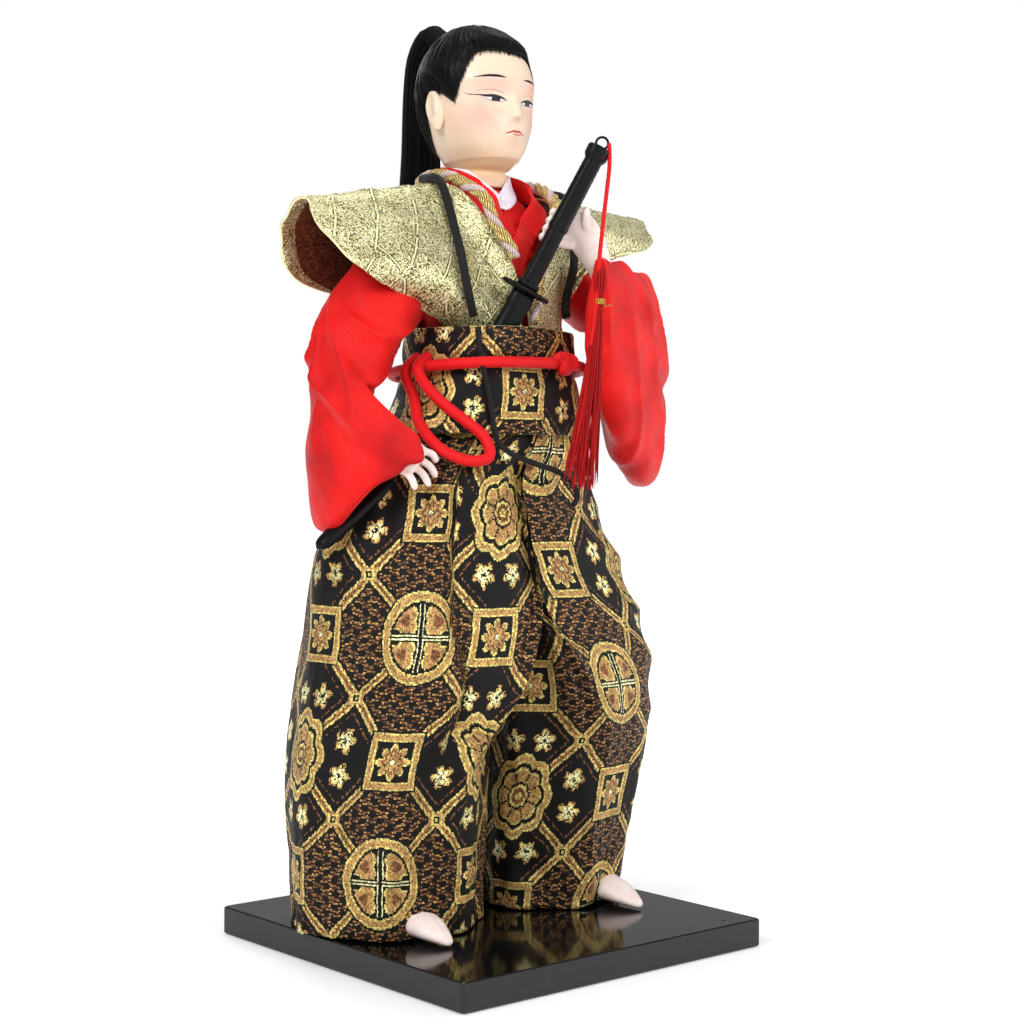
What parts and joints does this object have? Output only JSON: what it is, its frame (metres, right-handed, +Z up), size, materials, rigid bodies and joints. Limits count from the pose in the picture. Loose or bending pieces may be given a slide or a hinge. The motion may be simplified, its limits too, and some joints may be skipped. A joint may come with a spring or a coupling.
{
  "type": "samurai display doll",
  "caption": "Standing display doll of a samurai in a brocade divided skirt, winged vest and red robe, one hand on a sword hilt, on a square black plate.",
  "frame": {"origin": "centre of the base plate's underside", "axes": "+Z up, the doll faces -Y, its left side is on +X"},
  "size_m": [0.1463, 0.125, 0.3035],
  "materials": {
    "black_lacquer": "gloss black lacquer on the top face, satin on the sides",
    "satin_black": "satin black",
    "black_cord": "matt twisted cord",
    "plain_timber": "plain timber",
    "bound_straw": "bound straw, out of sight",
    "ivory_skin": "ivory, satin, with a soft blush",
    "pale_hand": "pale pink-white, satin",
    "white_cloth": "white cloth with a lilac cast",
    "red_cloth": "bright red, fine dotted weave",
    "red_cord": "red silk cord and thread",
    "gold_rope": "twisted gold and white satin",
    "gold_wire": "bright gold wire",
    "gold_lame": "pale gold cloth with dark flecks",
    "black_brocade": "black brocade woven with gold and copper",
    "black_brocade_sash": "black brocade woven with gold and copper",
    "black_hair": "fine black strands"
  },
  "bodies": {
    "root": {"base_plate": "black_lacquer", "belt_cord": "red_cord", "belt_knot": "red_cord", "belt_loop": "red_cord", "body_core": "bound_straw", "foot_left": "pale_hand", "foot_right": "pale_hand", "hair_cap": "black_hair", "hair_tie": "white_cloth", "hakama": "black_brocade", "head": "ivory_skin", "inner_collar": "white_cloth", "kimono_body": "red_cloth", "left_hand": "pale_hand", "left_sleeve": "red_cloth", "leg_post_left": "plain_timber", "leg_post_right": "plain_timber", "pommel_ring": "red_cord", "ponytail": "black_hair", "red_collar": "red_cloth", "right_hand": "pale_hand", "right_sleeve": "red_cloth", "rope_left": "gold_rope", "rope_right": "gold_rope", "scabbard": "satin_black", "shoulder_cord_left": "black_cord", "shoulder_cord_right": "black_cord", "sword_guard": "satin_black", "sword_hilt": "satin_black", "tassel_binding": "gold_wire", "tassel_cord": "red_cord", "tassel_fringe": "red_cord", "vest": "gold_lame", "waist_sash": "black_brocade_sash"}
  },
  "joints": []
}
